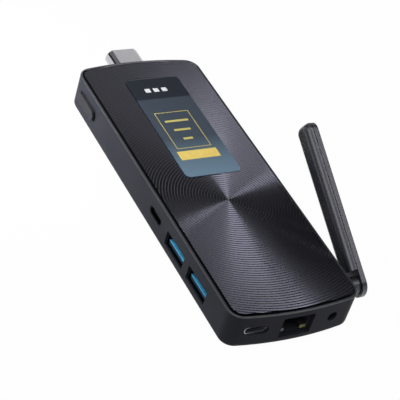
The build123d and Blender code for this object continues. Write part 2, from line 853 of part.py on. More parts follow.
export_step(ethernet_shield.part, "parts/ethernet_shield.step")

with BuildPart() as ethernet_body:
    with BuildSketch(jack_plane):
        Rectangle(body_width, body_height)
    extrude(amount=ethernet_depth)
    with BuildSketch(jack_plane):
        with Locations((0, cavity_bottom)):
            Rectangle(
                ethernet_cavity_width, ethernet_cavity_height, align=(Align.CENTER, Align.MIN)
            )
        with Locations((0, latch_bottom)):
            Rectangle(
                ethernet_latch_width, ethernet_latch_height, align=(Align.CENTER, Align.MIN)
            )
    extrude(amount=ethernet_cavity_depth, mode=Mode.SUBTRACT)
    with BuildSketch(jack_plane):
        for side in (-1, 1):
            with Locations((side * lamp_x, lamp_z)):
                Rectangle(ethernet_lamp_width + 2 * snug_gap, ethernet_lamp_height + 2 * snug_gap)
    extrude(amount=ethernet_lamp_depth + snug_gap, mode=Mode.SUBTRACT)
ethernet_body.part.label = "ethernet_body"
export_step(ethernet_body.part, "parts/ethernet_body.step")

with BuildPart() as ethernet_contacts:
    contact_roof = cavity_bottom + ethernet_cavity_height
    contact_start = ethernet_cavity_depth - ethernet_contact_length
    with BuildSketch(jack_plane.offset(contact_start)):
        with Locations((0, contact_roof)):
            with GridLocations(ethernet_contact_pitch, 0, ethernet_contact_count, 1):
                Rectangle(
                    ethernet_contact_width,
                    ethernet_contact_width,
                    align=(Align.CENTER, Align.MAX),
                )
    extrude(amount=ethernet_contact_length)
ethernet_contacts.part.label = "ethernet_contacts"
export_step(ethernet_contacts.part, "parts/ethernet_contacts.step")

with BuildPart() as ethernet_lamps:
    with BuildSketch(jack_plane):
        for side in (-1, 1):
            with Locations((side * lamp_x, lamp_z)):
                Rectangle(ethernet_lamp_width, ethernet_lamp_height)
    extrude(amount=ethernet_lamp_depth)
ethernet_lamps.part.label = "ethernet_lamps"
export_step(ethernet_lamps.part, "parts/ethernet_lamps.step")

# Headphone jack: moulded body with a metal ring at its mouth
audio_plane = Plane(
    origin=(audio_x, audio_mouth_y, audio_z), x_dir=(-1, 0, 0), z_dir=(0, 1, 0)
)
with BuildPart() as audio_jack:
    with BuildSketch(audio_plane):
        Rectangle(audio_width, audio_height)
        Circle(audio_bore_radius, mode=Mode.SUBTRACT)
    extrude(amount=audio_depth)
    with BuildSketch(audio_plane):
        Circle(audio_bore_radius + audio_lining + snug_gap)
    extrude(amount=audio_lining_depth + snug_gap, mode=Mode.SUBTRACT)
audio_jack.part.label = "audio_jack"
export_step(audio_jack.part, "parts/audio_jack.step")

with BuildPart() as audio_ring:
    with BuildSketch(audio_plane):
        Circle(audio_bore_radius + audio_lining)
        Circle(audio_bore_radius, mode=Mode.SUBTRACT)
    extrude(amount=audio_lining_depth)
audio_ring.part.label = "audio_ring"
export_step(audio_ring.part, "parts/audio_ring.step")

# Video plug: folded shell with a seam along each bevel, block with its slot, contacts
plug_plane = Plane(origin=(plug_x, plug_tip_y, plug_z), x_dir=(1, 0, 0), z_dir=(0, -1, 0))
seam_x = plug_outline_shares[1][0] * plug_width / 2
seam_z = plug_outline_shares[1][1] * plug_height
with BuildPart() as plug_shell:
    with BuildSketch(plug_plane):
        add(plug_outline())
        add(plug_outline(-plug_sheet), mode=Mode.SUBTRACT)
        for side in (-1, 1):
            with Locations((side * seam_x, seam_z)):
                Rectangle(2 * plug_seam_depth, plug_seam_width, mode=Mode.SUBTRACT)
    extrude(amount=plug_length)
plug_shell.part.label = "plug_shell"
export_step(plug_shell.part, "parts/plug_shell.step")

with BuildPart() as plug_block:
    with BuildSketch(plug_plane.offset(plug_block_set_back)):
        add(plug_outline(-plug_sheet - snug_gap))
    extrude(amount=plug_length - plug_block_set_back)
    with BuildSketch(plug_plane.offset(plug_block_set_back)):
        Rectangle(plug_slot_width, plug_slot_height)
    extrude(amount=plug_slot_depth, mode=Mode.SUBTRACT)
plug_block.part.label = "plug_block"
export_step(plug_block.part, "parts/plug_block.step")

with BuildPart() as plug_contacts:
    with BuildSketch(plug_plane.offset(plug_block_set_back + plug_contact_pitch)):
        for side, count in zip((-1, 1), plug_contact_counts):
            row_z = side * (plug_slot_height - plug_contact_thickness) / 2
            with Locations((0, row_z)):
                with GridLocations(plug_contact_pitch, 0, count, 1):
                    Rectangle(plug_contact_width, plug_contact_thickness)
    extrude(amount=plug_slot_depth - plug_contact_pitch)
plug_contacts.part.label = "plug_contacts"
export_step(plug_contacts.part, "parts/plug_contacts.step")

# Power button: long cap through the wall, flange behind it, pad on the switch
plunger_tip_x = switch_x - plunger_reach
with BuildPart() as power_button:
    with BuildSketch(Plane.YZ.offset(button_face_x)):
        with Locations((button_y, button_z)):
            SlotOverall(button_length, button_height)
    extrude(amount=button_flange_x - button_face_x)
    fillet(power_button.faces().sort_by(Axis.X)[0].edges(), button_round)
    with BuildSketch(Plane.YZ.offset(button_flange_x)):
        with Locations((button_y, button_z)):
            SlotOverall(
                button_length + 2 * button_gap + 2 * button_flange,
                button_height + 2 * button_gap + 2 * button_flange - seat_gap,
            )
    extrude(amount=button_flange_thickness)
    with BuildSketch(Plane.YZ.offset(button_flange_x + button_flange_thickness)):
        with Locations((button_y, button_z)):
            Rectangle(button_pad, button_pad)
    extrude(amount=plunger_tip_x - button_flange_x - button_flange_thickness)
    with BuildSketch(Plane.YZ.offset(button_face_x)):
        with Locations((light_y, light_z)):
            Circle(light_radius + snug_gap)
    extrude(amount=button_flange_x - button_face_x + overrun, mode=Mode.SUBTRACT)
power_button.part.label = "power_button"
export_step(power_button.part, "parts/power_button.step")

with BuildPart() as button_light:
    with BuildSketch(Plane.YZ.offset(button_face_x + snug_gap)):
        with Locations((light_y, light_z)):
            Circle(light_radius)
    extrude(amount=button_flange_x + button_flange_thickness - button_face_x)
button_light.part.label = "button_light"
export_step(button_light.part, "parts/button_light.step")

# Tact switch on the board and its plunger
with BuildPart() as power_switch:
    with BuildSketch(Plane.YZ.offset(switch_x)):
        with Locations((button_y, board_top)):
            Rectangle(switch_width, switch_height, align=(Align.CENTER, Align.MIN))
    extrude(amount=switch_depth)
    with BuildSketch(Plane.YZ.offset(switch_x)):
        with Locations((button_y, button_z)):
            Circle(plunger_radius + run_gap)
    extrude(amount=plunger_length - plunger_reach + button_travel + run_gap, mode=Mode.SUBTRACT)
power_switch.part.label = "power_switch"
export_step(power_switch.part, "parts/power_switch.step")

with BuildPart() as switch_plunger:
    with BuildSketch(Plane.YZ.offset(plunger_tip_x)):
        with Locations((button_y, button_z)):
            Circle(plunger_radius)
    extrude(amount=plunger_length)
switch_plunger.part.label = "switch_plunger"
export_step(switch_plunger.part, "parts/switch_plunger.step")

with BuildPart() as status_lamp:
    with BuildSketch(Plane.XY.offset(board_top)):
        with Locations((button_clear_x + seat_gap, light_y)):
            Rectangle(led_depth, led_width, align=(Align.MIN, Align.CENTER))
    extrude(amount=led_height)
status_lamp.part.label = "status_lamp"
export_step(status_lamp.part, "parts/status_lamp.step")

# Antenna hub, fixed in the right wall, with pin, clip and washer
hub_tip = paddle_stand_off - washer_thickness
pivot_plane = Plane(
    origin=(half_width, pivot_y, antenna_pivot_z), x_dir=(0, 1, 0), z_dir=(1, 0, 0)
)
with BuildPart() as antenna_hub:
    with BuildSketch(pivot_plane.offset(-wall - hub_inner_reach)):
        Circle(hub_radius)
    extrude(amount=wall + hub_inner_reach)
    with BuildSketch(pivot_plane):
        Circle(hub_boss_radius)
    extrude(amount=hub_tip)
    with BuildSketch(pivot_plane.offset(-wall - hub_inner_reach)):
        Circle(pin_radius + snug_gap)
    extrude(amount=wall + hub_inner_reach + hub_tip, mode=Mode.SUBTRACT)
    with BuildSketch(Plane(origin=(lead_lane_x, lead_end_y, lead_z), z_dir=(0, 1, 0))):
        Circle(lead_radius + snug_gap)
    extrude(amount=overrun, mode=Mode.SUBTRACT)
antenna_hub.part.label = "antenna_hub"
export_step(antenna_hub.part, "parts/antenna_hub.step")

pin_seat = paddle_stand_off + paddle_slab - pin_head_thickness
with BuildPart() as antenna_pin:
    with BuildSketch(pivot_plane.offset(-wall - hub_inner_reach - clip_thickness)):
        Circle(pin_radius)
    extrude(amount=wall + hub_inner_reach + clip_thickness + pin_seat)
    with BuildSketch(pivot_plane.offset(pin_seat)):
        Circle(pin_head_radius)
    extrude(amount=pin_head_thickness)
antenna_pin.part.label = "antenna_pin"
export_step(antenna_pin.part, "parts/antenna_pin.step")

with BuildPart() as antenna_clip:
    with BuildSketch(pivot_plane.offset(-wall - hub_inner_reach - clip_thickness)):
        Circle(clip_radius)
        Circle(pin_radius + snug_gap, mode=Mode.SUBTRACT)
    extrude(amount=clip_thickness)
antenna_clip.part.label = "antenna_clip"
export_step(antenna_clip.part, "parts/antenna_clip.step")

with BuildPart() as antenna_washer:
    with BuildSketch(pivot_plane.offset(hub_tip)):
        Circle(washer_radius)
        Circle(pin_radius + snug_gap, mode=Mode.SUBTRACT)
    extrude(amount=washer_thickness - run_gap)
antenna_washer.part.label = "antenna_washer"
export_step(antenna_washer.part, "parts/antenna_washer.step")

# Antenna paddle: flat slab with a domed inner side, cut back round the hinge
pocket_length = paddle_length - paddle_width / 2 - hinge_clear - 2 * back_cover_inset
pocket_middle = hinge_clear + back_cover_inset + pocket_length / 2
pocket_depth = back_cover_thickness + element_pocket_depth
with BuildPart() as antenna_paddle:
    with BuildSketch(paddle_plane()):
        add(paddle_outline(paddle_shoulder))
    extrude(amount=-paddle_dome)
    fillet(antenna_paddle.faces().sort_by(Axis.X)[0].edges(), paddle_dome - paddle_shoulder)
    with BuildSketch(paddle_plane()):
        with Locations((hinge_clear, 0)):
            Rectangle(paddle_width * 2, paddle_width * 2, align=(Align.MAX, Align.CENTER))
    extrude(amount=-paddle_dome, mode=Mode.SUBTRACT)
    with BuildSketch(paddle_plane()):
        add(paddle_outline())
    extrude(amount=paddle_slab)
    fillet(antenna_paddle.faces().sort_by(Axis.X)[-1].edges(), paddle_outer_round)
    with BuildSketch(paddle_plane(paddle_slab - pocket_depth)):
        with Locations((pocket_middle, 0)):
            RectangleRounded(pocket_length, element_width + 2 * seat_gap, back_cover_inset)
    extrude(amount=pocket_depth, mode=Mode.SUBTRACT)
    with BuildSketch(paddle_plane(paddle_slab - back_cover_thickness)):
        with Locations((pocket_middle, 0)):
            RectangleRounded(
                pocket_length, paddle_width - 2 * back_cover_inset, back_cover_inset
            )
    extrude(amount=back_cover_thickness, mode=Mode.SUBTRACT)
    with BuildSketch(paddle_plane()):
        Circle(pin_radius + run_gap)
    extrude(amount=paddle_slab, mode=Mode.SUBTRACT)
    with BuildSketch(paddle_plane(paddle_slab - pin_head_thickness - run_gap)):
        Circle(pin_head_radius + seat_gap)
    extrude(amount=pin_head_thickness + run_gap, mode=Mode.SUBTRACT)
antenna_paddle.part.label = "antenna_paddle"
export_step(antenna_paddle.part, "parts/antenna_paddle.step")

with BuildPart() as antenna_back_cover:
    with BuildSketch(paddle_plane(paddle_slab - back_cover_thickness)):
        with Locations((pocket_middle, 0)):
            RectangleRounded(
                pocket_length - 2 * snug_gap,
                paddle_width - 2 * back_cover_inset - 2 * snug_gap,
                back_cover_inset - snug_gap,
            )
    extrude(amount=back_cover_thickness)
antenna_back_cover.part.label = "antenna_back_cover"
export_step(antenna_back_cover.part, "parts/antenna_back_cover.step")

with BuildPart() as antenna_element:
    with BuildSketch(paddle_plane(paddle_slab - pocket_depth)):
        with Locations((pocket_middle, 0)):
            RectangleRounded(
                pocket_length - 2 * seat_gap, element_width, back_cover_inset - snug_gap
            )
    extrude(amount=element_thickness)
antenna_element.part.label = "antenna_element"
export_step(antenna_element.part, "parts/antenna_element.step")
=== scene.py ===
import math
import bpy
from mathutils import Matrix, Vector


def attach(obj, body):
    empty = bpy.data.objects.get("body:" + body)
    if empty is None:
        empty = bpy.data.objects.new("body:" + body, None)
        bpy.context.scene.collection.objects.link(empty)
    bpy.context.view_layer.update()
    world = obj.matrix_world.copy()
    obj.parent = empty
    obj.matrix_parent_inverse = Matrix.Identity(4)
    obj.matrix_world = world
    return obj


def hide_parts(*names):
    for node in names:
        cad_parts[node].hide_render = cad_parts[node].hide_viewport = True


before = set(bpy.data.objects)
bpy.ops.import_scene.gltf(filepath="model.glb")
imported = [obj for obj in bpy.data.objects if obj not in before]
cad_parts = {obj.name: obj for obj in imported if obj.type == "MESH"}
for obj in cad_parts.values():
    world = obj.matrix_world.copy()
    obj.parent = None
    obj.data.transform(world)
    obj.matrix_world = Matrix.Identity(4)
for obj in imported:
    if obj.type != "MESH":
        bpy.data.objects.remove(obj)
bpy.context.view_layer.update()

# Stick computer: the CAD nodes get their finishes here, a finer ringed cover takes the
# place of the plain one, and the label gets its print. Metres, in the CAD model's frame.

mm = 0.001


def linearColour(hexValue):
    # sRGB hex to the linear colour that sockets take
    channels = [int(hexValue[i:i + 2], 16) / 255 for i in (1, 3, 5)]
    linear = [c / 12.92 if c <= 0.04045 else ((c + 0.055) / 1.055) ** 2.4 for c in channels]
    return tuple(linear) + (1.0,)


def dimmed(colour, share):
    # the same colour with less light
    return tuple(c * share for c in colour[:3]) + (1.0,)


def addNode(tree, kind, settings=None, links=None):
    # settings: attribute or input name to value; links: input to (node, output)
    node = tree.nodes.new(kind)
    for name, value in (settings or {}).items():
        if isinstance(name, int) or name in node.inputs:
            node.inputs[name].default_value = value
        else:
            setattr(node, name, value)
    for name, (source, output) in (links or {}).items():
        tree.links.new(source.outputs[output], node.inputs[name])
    return node


def objectAxes(tree):
    # the place on the object, split into X, Y and Z
    place = addNode(tree, "ShaderNodeTexCoord")
    return addNode(tree, "ShaderNodeSeparateXYZ", None, {"Vector": (place, "Object")})


def newMaterial(name, settings):
    # a material with one Principled shader, its constant inputs set on the sockets
    material = bpy.data.materials.new(name)
    material.use_nodes = True
    tree = material.node_tree
    shader = tree.nodes["Principled BSDF"]
    for socket, value in settings.items():
        shader.inputs[socket].default_value = value
    return material, tree, shader


def setRamp(node, stops):
    # stops: (position, colour) pairs, first to last
    ramp = node.color_ramp
    while len(ramp.elements) > 1:
        ramp.elements.remove(ramp.elements[-1])
    ramp.elements[0].position, ramp.elements[0].color = stops[0]
    for position, colour in stops[1:]:
        ramp.elements.new(position).color = colour


def tintWhere(material, mask, colour):
    # the colour shows where the mask is 0, and the material's own where it is 1
    tree = material.node_tree
    base = tree.nodes["Principled BSDF"].inputs["Base Color"]
    tone = addNode(tree, "ShaderNodeMixRGB", {"Color1": linearColour(colour)}, {"Fac": mask})
    if base.links:
        tree.links.new(base.links[0].from_socket, tone.inputs["Color2"])
    else:
        tone.inputs["Color2"].default_value = tuple(base.default_value)
    tree.links.new(tone.outputs["Color"], base)


def clearSelection():
    if bpy.context.object and bpy.context.object.mode != "OBJECT":
        bpy.ops.object.mode_set(mode="OBJECT")
    bpy.ops.object.select_all(action="DESELECT")


def giveMaterial(piece, material):
    piece.data.materials.clear()
    piece.data.materials.append(material)


def finishPiece(name, material, body):
    # the piece in edit becomes a named object at the origin, and rides its body
    piece = bpy.context.object
    clearSelection()
    piece.select_set(True)
    bpy.context.view_layer.objects.active = piece
    bpy.ops.object.transform_apply(location=True, rotation=True, scale=True)
    piece.name = name
    piece.data.name = name
    giveMaterial(piece, material)
    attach(piece, body)
    return piece


# What the moulded plastics share: a faint cloudiness of colour under a fine grain
mouldedLook = {
    "ior": 1.5,
    "cloudSize": 18 * mm,
    "cloudDetail": 2.0,
    "darkAt": 0.35,
    "lightAt": 0.65,
    "grainDetail": 3.0,
    "grainRoughness": 0.6,
    "grainStrength": 0.35,
}


def mouldedPlastic(name, finish, extra=None):
    # finish: its two tones, roughness and grain; extra: other inputs of the shader
    settings = {"Roughness": finish["roughness"], "IOR": mouldedLook["ior"]}
    settings.update(extra or {})
    material, tree, shader = newMaterial(name, settings)
    place = addNode(tree, "ShaderNodeTexCoord")
    grain = addNode(
        tree,
        "ShaderNodeTexNoise",
        {
            "Scale": 1 / finish["grainSize"],
            "Detail": mouldedLook["grainDetail"],
            "Roughness": mouldedLook["grainRoughness"],
        },
        {"Vector": (place, "Object")},
    )
    cloud = addNode(
        tree,
        "ShaderNodeTexNoise",
        {"Scale": 1 / mouldedLook["cloudSize"], "Detail": mouldedLook["cloudDetail"]},
        {"Vector": (place, "Object")},
    )
    tone = addNode(tree, "ShaderNodeValToRGB", None, {"Fac": (cloud, "Fac")})
    setRamp(tone, [
        (mouldedLook["darkAt"], linearColour(finish["lower"])),
        (mouldedLook["lightAt"], linearColour(finish["upper"])),
    ])
    tree.links.new(tone.outputs["Color"], shader.inputs["Base Color"])
    bump = addNode(
        tree,
        "ShaderNodeBump",
        {"Strength": mouldedLook["grainStrength"], "Distance": finish["grainDepth"]},
        {"Height": (grain, "Fac")},
    )
    tree.links.new(bump.outputs["Normal"], shader.inputs["Normal"])
    return material


# Case: moulded ABS with a spark-eroded grain, a soft broad sheen without sharp mirror images.
# The real grain is finer, and is drawn coarse enough to show.
shellFinish = {
    "upper": "#34353c",
    "lower": "#2f3037",
    "roughness": 0.46,
    "grainSize": 0.35 * mm,
    "grainDepth": 0.012 * mm,
}
shellPlastic = mouldedPlastic("mouldedAbsShell", shellFinish)

# The rim is polished, unlike the wall below it, and shows as a fine light line round the cover
rimPolish = {
    "low": 14.85 * mm,
    "high": 15.0 * mm,
    "wallGloss": 0.04,
    "rimGloss": 1.0,
    "roughness": 0.3,
}


def polishRim(material):
    tree = material.node_tree
    shader = tree.nodes["Principled BSDF"]
    axes = objectAxes(tree)
    span = {"From Min": rimPolish["low"], "From Max": rimPolish["high"]}
    changes = {
        "Specular IOR Level": (rimPolish["wallGloss"], rimPolish["rimGloss"]),
        "Roughness": (shellFinish["roughness"], rimPolish["roughness"]),
    }
    for socket, (wall, rim) in changes.items():
        climb = addNode(
            tree,
            "ShaderNodeMapRange",
            {**span, "To Min": wall, "To Max": rim},
            {"Value": (axes, "Z")},
        )
        tree.links.new(climb.outputs["Result"], shader.inputs[socket])


polishRim(shellPlastic)

# Antenna: ABS from a polished mould, which mirrors the light as broad even bands; its grain
# is a slight waviness of the faces
antennaPlastic = mouldedPlastic("mouldedAbsAntenna", {
    "upper": "#1e1f23",
    "lower": "#1a1b1f",
    "roughness": 0.4,
    "grainSize": 3 * mm,
    "grainDepth": 0.001 * mm,
}, {
    "Specular IOR Level": 1.0,
    "Specular Tint": linearColour("#ececff"),
    "Coat Weight": 0.9,
    "Coat Roughness": 0.38,
})

# Button: matt moulded ABS, an even dark grey that hardly mirrors
buttonPlastic = mouldedPlastic("mouldedAbsButton", {
    "upper": "#313135",
    "lower": "#2d2d31",
    "roughness": 0.4,
    "grainSize": 0.3 * mm,
    "grainDepth": 0.005 * mm,
}, {"Specular IOR Level": 0.1})

# Network jack: moulded PBT, a lighter dull grey deep in the mouth
jackPlastic = mouldedPlastic("mouldedPbtJack", {
    "upper": "#434448",
    "lower": "#3b3c40",
    "roughness": 0.45,
    "grainSize": 0.25 * mm,
    "grainDepth": 0.01 * mm,
}, {"Specular IOR Level": 0.2})

# Other connector blocks: moulded liquid crystal polymer, nearly black
connectorPlastic = mouldedPlastic("mouldedLcpConnector", {
    "upper": "#121214",
    "lower": "#0c0c0e",
    "roughness": 0.5,
    "grainSize": 0.25 * mm,
    "grainDepth": 0.01 * mm,
})

# Tongues of the two wide ports: moulded PBT, a clear light blue with little gloss
tonguePlastic = mouldedPlastic("mouldedPbtBlue", {
    "upper": "#4fb0df",
    "lower": "#44a3d4",
    "roughness": 0.35,
    "grainSize": 0.25 * mm,
    "grainDepth": 0.004 * mm,
}, {"Specular IOR Level": 0.15})

# Painted shade darkens the tongues' front edges up to a lip, which catches the light like their top
tongueFrontShade = {
    "edge": -24.9 * mm,
    "depth": 0.06 * mm,
    "lip": 6.45 * mm,
    "lipBlend": 0.1 * mm,
    "colour": "#10293c",
}


def paintFrontShade(material):
    tree = material.node_tree
    axes = objectAxes(tree)
    behind = addNode(
        tree,
        "ShaderNodeMapRange",
        {"From Min": tongueFrontShade["edge"], "From Max": tongueFrontShade["edge"] + tongueFrontShade["depth"]},
        {"Value": (axes, "X")},
    )
    above = addNode(
        tree,
        "ShaderNodeMapRange",
        {"From Min": tongueFrontShade["lip"], "From Max": tongueFrontShade["lip"] + tongueFrontShade["lipBlend"]},
        {"Value": (axes, "Z")},
    )
    lit = addNode(
        tree,
        "ShaderNodeMath",
        {"operation": "MAXIMUM"},
        {0: (behind, "Result"), 1: (above, "Result")},
    )
    # painted shade: the dark colour where the front is neither behind the edge nor above the lip
    tintWhere(material, (lit, "Value"), tongueFrontShade["colour"])


paintFrontShade(tonguePlastic)

# Chips: moulded epoxy, dull and nearly black
chipResin = mouldedPlastic("mouldedEpoxyChip", {
    "upper": "#1d1e20",
    "lower": "#16171a",
    "roughness": 0.55,
    "grainSize": 0.2 * mm,
    "grainDepth": 0.01 * mm,
})

# Processor: laminated board under green resist, satin and even
processorLaminate = mouldedPlastic("processorLaminate", {
    "upper": "#2f5540",
    "lower": "#264a36",
    "roughness": 0.4,
    "grainSize": 0.5 * mm,
    "grainDepth": 0.005 * mm,
})

# Coils: pressed ferrite, a dull stony grey with the deepest grain
ferrite = mouldedPlastic("pressedFerrite", {
    "upper": "#4c4d51",
    "lower": "#3e3f43",
    "roughness": 0.6,
    "grainSize": 0.2 * mm,
    "grainDepth": 0.02 * mm,
})

# Thermal pad: cast silicone, pale and quite matt
padSilicone = mouldedPlastic("castSilicone", {
    "upper": "#93a0b0",
    "lower": "#8794a6",
    "roughness": 0.65,
    "grainSize": 0.4 * mm,
    "grainDepth": 0.01 * mm,
})

# Antenna lead: extruded FEP jacket, black with a soft gloss
leadJacket = mouldedPlastic("extrudedFepLead", {
    "upper": "#1d1d20",
    "lower": "#161618",
    "roughness": 0.35,
    "grainSize": 0.4 * mm,
    "grainDepth": 0.004 * mm,
})

# Metals differ in gloss from place to place by their rolling, drawing or plating marks,
# which are drawn coarse enough to show
metalLook = {
    "markSize": 0.6 * mm,
    "markDetail": 4.0,
    "markRoughness": 0.7,
    "smoothest": 0.8,
    "roughest": 1.25,
}


# How close the marks lie along each axis: low along the rolling or drawing
evenMarks = (1.0, 1.0, 1.0)
rolledMarks = (1.0, 0.15, 1.0)
drawnMarks = (1.0, 0.1, 1.0)


def metal(name, colour, roughness, streak=evenMarks):
    material, tree, shader = newMaterial(name, {"Metallic": 1.0, "Base Color": linearColour(colour)})
    place = addNode(tree, "ShaderNodeTexCoord")
    stretch = addNode(tree, "ShaderNodeMapping", {"Scale": streak}, {"Vector": (place, "Object")})
    marks = addNode(
        tree,
        "ShaderNodeTexNoise",
        {
            "Scale": 1 / metalLook["markSize"],
            "Detail": metalLook["markDetail"],
            "Roughness": metalLook["markRoughness"],
        },
        {"Vector": (stretch, "Vector")},
    )
    spread = addNode(
        tree,
        "ShaderNodeMapRange",
        {"To Min": roughness * metalLook["smoothest"], "To Max": roughness * metalLook["roughest"]},
        {"Value": (marks, "Fac")},
    )
    tree.links.new(spread.outputs["Result"], shader.inputs["Roughness"])
    return material


# Rolled nickel plated steel: bright grey with soft streaks along the rolling
nickelSteel = metal("rolledNickelSteel", "#c4c5cb", roughness=0.5, streak=rolledMarks)
# Zinc plated steel: a plain mid grey for screws and the hinge
zincSteel = metal("zincPlatedSteel", "#a3a4a8", roughness=0.35)
# Turned brass: warm yellow with fairly clear highlights
turnedBrass = metal("turnedBrass", "#b99a55", roughness=0.3)
# Gold plated bronze: the muted yellow of contacts
goldPlate = metal("goldPlatedBronze", "#a8853c", roughness=0.4)
# Folded steel sheet of the plug: the lightest of the metals, with clearer highlights
plugSteel = metal("foldedPlugSteel", "#d2d2d6", roughness=0.34, streak=rolledMarks)
# Black nickel plate: port shells that stay dark with a faint metal sheen
blackNickel = metal("blackNickelPlate", "#26272a", roughness=0.5)
# Extruded aluminium: pale grey with fine lines along the fins
extrudedAluminium = metal("extrudedAluminium", "#b0b2b5", roughness=0.4, streak=drawnMarks)
# Etched copper: the antenna's reddish strip
etchedCopper = metal("etchedCopper", "#b8764a", roughness=0.35)

# The plug's folded sheet leaves a dark seam along each bevel
plugSeam = {"height": 9.2 * mm, "half": 0.24 * mm, "blend": 0.08 * mm, "colour": "#3c3c41"}


def darkenSeam(material):
    tree = material.node_tree
    axes = objectAxes(tree)
    above = addNode(
        tree,
        "ShaderNodeMath",
        {"operation": "SUBTRACT", 1: plugSeam["height"]},
        {0: (axes, "Z")},
    )
    away = addNode(tree, "ShaderNodeMath", {"operation": "ABSOLUTE"}, {0: (above, "Value")})
    outside = addNode(
        tree,
        "ShaderNodeMapRange",
        {"From Min": plugSeam["half"], "From Max": plugSeam["half"] + plugSeam["blend"]},
        {"Value": (away, "Value")},
    )
    tintWhere(material, (outside, "Result"), plugSeam["colour"])


darkenSeam(plugSteel)

# Light guides: moulded polycarbonate, frosted, so they look milky and not see-through
clearLook = {
    "roughness": 0.25,
    "ior": 1.49,
    "scatter": 0.3,
    "scatterDepth": 0.5 * mm,
    "frostSize": 0.3 * mm,
    "frostDetail": 2.0,
    "darkAt": 0.3,
    "lightAt": 0.7,
    "darkShare": 0.85,
}


def clearPlastic(name, colour):
    material, tree, shader = newMaterial(name, {
        "Roughness": clearLook["roughness"],
        "IOR": clearLook["ior"],
        "Subsurface Weight": clearLook["scatter"],
        "Subsurface Scale": clearLook["scatterDepth"],
    })
    place = addNode(tree, "ShaderNodeTexCoord")
    frost = addNode(
        tree,
        "ShaderNodeTexNoise",
        {"Scale": 1 / clearLook["frostSize"], "Detail": clearLook["frostDetail"]},
        {"Vector": (place, "Object")},
    )
    tone = addNode(tree, "ShaderNodeValToRGB", None, {"Fac": (frost, "Fac")})
    light = linearColour(colour)
    dark = dimmed(light, clearLook["darkShare"])
    setRamp(tone, [(clearLook["darkAt"], dark), (clearLook["lightAt"], light)])
    tree.links.new(tone.outputs["Color"], shader.inputs["Base Color"])
    return material


lampPlastic = clearPlastic("tintedPolycarbonateLamp", "#d4dc8a")
lightPlastic = clearPlastic("frostedPolycarbonateLight", "#4c4c50")

# The jack has two lamps: the one on the right is tinted, the one on the left is clear
jackLamps = {"split": 0.26 * mm, "clear": "#c2c3c6"}


def clearLeftLamp(material):
    tree = material.node_tree
    axes = objectAxes(tree)
    right = addNode(
        tree,
        "ShaderNodeMath",
        {"operation": "GREATER_THAN", 1: jackLamps["split"]},
        {0: (axes, "X")},
    )
    tintWhere(material, (right, "Value"), jackLamps["clear"])


clearLeftLamp(lampPlastic)

# Fibreglass board under green solder resist: a woven pattern under a satin coat, the weave
# drawn coarse enough to show
boardFinish = {
    "dark": "#143a24",
    "light": "#1b4a2e",
    "darkAt": 0.4,
    "lightAt": 0.6,
    "roughness": 0.38,
    "ior": 1.5,
    "weave": 4 * mm,
    "waviness": 1.5,
}


def boardLaminate():
    material, tree, shader = newMaterial("glassFibreBoard", {
        "Roughness": boardFinish["roughness"],
        "IOR": boardFinish["ior"],
    })
    place = addNode(tree, "ShaderNodeTexCoord")
    weave = addNode(
        tree,
        "ShaderNodeTexWave",
        {
            "Scale": 1 / boardFinish["weave"],
            "Distortion": boardFinish["waviness"],
            "bands_direction": "DIAGONAL",
        },
        {"Vector": (place, "Object")},
    )
    tone = addNode(tree, "ShaderNodeValToRGB", None, {"Fac": (weave, "Fac")})
    setRamp(tone, [
        (boardFinish["darkAt"], linearColour(boardFinish["dark"])),
        (boardFinish["lightAt"], linearColour(boardFinish["light"])),
    ])
    tree.links.new(tone.outputs["Color"], shader.inputs["Base Color"])
    return material


fibreBoard = boardLaminate()

# Cover: glossy ABS with turned rings, near black where it mirrors nothing. The ridges
# themselves are mesh, and the faint turning marks on them are here.
coverFinish = {
    "base": "#121214",
    "gloss": "#e6e6ff",
    "glossLevel": 1.0,
    "roughness": 0.22,
    "ior": 1.6,
    "grainSize": 0.5 * mm,
    "grainDetail": 2.0,
    "grainDepth": 0.001 * mm,
    "grainStrength": 0.3,
}


def turnedCover():
    material, tree, shader = newMaterial("turnedAbsCover", {
        "Base Color": linearColour(coverFinish["base"]),
        "Roughness": coverFinish["roughness"],
        "IOR": coverFinish["ior"],
        "Specular IOR Level": coverFinish["glossLevel"],
        "Specular Tint": linearColour(coverFinish["gloss"]),
    })
    place = addNode(tree, "ShaderNodeTexCoord")
    grain = addNode(
        tree,
        "ShaderNodeTexNoise",
        {"Scale": 1 / coverFinish["grainSize"], "Detail": coverFinish["grainDetail"]},
        {"Vector": (place, "Object")},
    )
    bump = addNode(
        tree,
        "ShaderNodeBump",
        {"Strength": coverFinish["grainStrength"], "Distance": coverFinish["grainDepth"]},
        {"Height": (grain, "Fac")},
    )
    tree.links.new(bump.outputs["Normal"], shader.inputs["Normal"])
    return material


coverPlastic = turnedCover()
print("materials ready")

# The case in plan, as in the CAD model: bowed ends joined to straight sides by round corners
caseShape = {
    "halfWidth": 26.0 * mm,
    "halfLength": 69.85 * mm,
    "bow": 2.5 * mm,
    "cornerRadius": 5.6 * mm,
    "cornerSteps": 24,
}


def caseOutline(inset):
    # the far half is a corner, the bowed end and the mirrored corner; half a turn gives the rest
    steps = caseShape["cornerSteps"]
    bow = caseShape["bow"]
    radius = caseShape["cornerRadius"] - inset
    bowRadius = (caseShape["halfWidth"] ** 2 + bow ** 2) / (2 * bow) - inset
    bowCentre = caseShape["halfLength"] - inset - bowRadius
    cornerX = caseShape["halfWidth"] - inset - radius
    cornerY = bowCentre + math.sqrt((bowRadius - radius) ** 2 - cornerX ** 2)
    tilt = math.atan2(cornerX, cornerY - bowCentre)
    corner = []
    for i in range(steps + 1):
        angle = (math.pi / 2 - tilt) * i / steps
        corner.append((cornerX + radius * math.cos(angle), cornerY + radius * math.sin(angle)))
    end = []
    for i in range(1, 2 * steps):
        angle = tilt - 2 * tilt * i / (2 * steps)
        end.append((bowRadius * math.sin(angle), bowCentre + bowRadius * math.cos(angle)))
    far = corner + end + [(-x, y) for x, y in reversed(corner)]
    return far + [(-x, -y) for x, y in far]


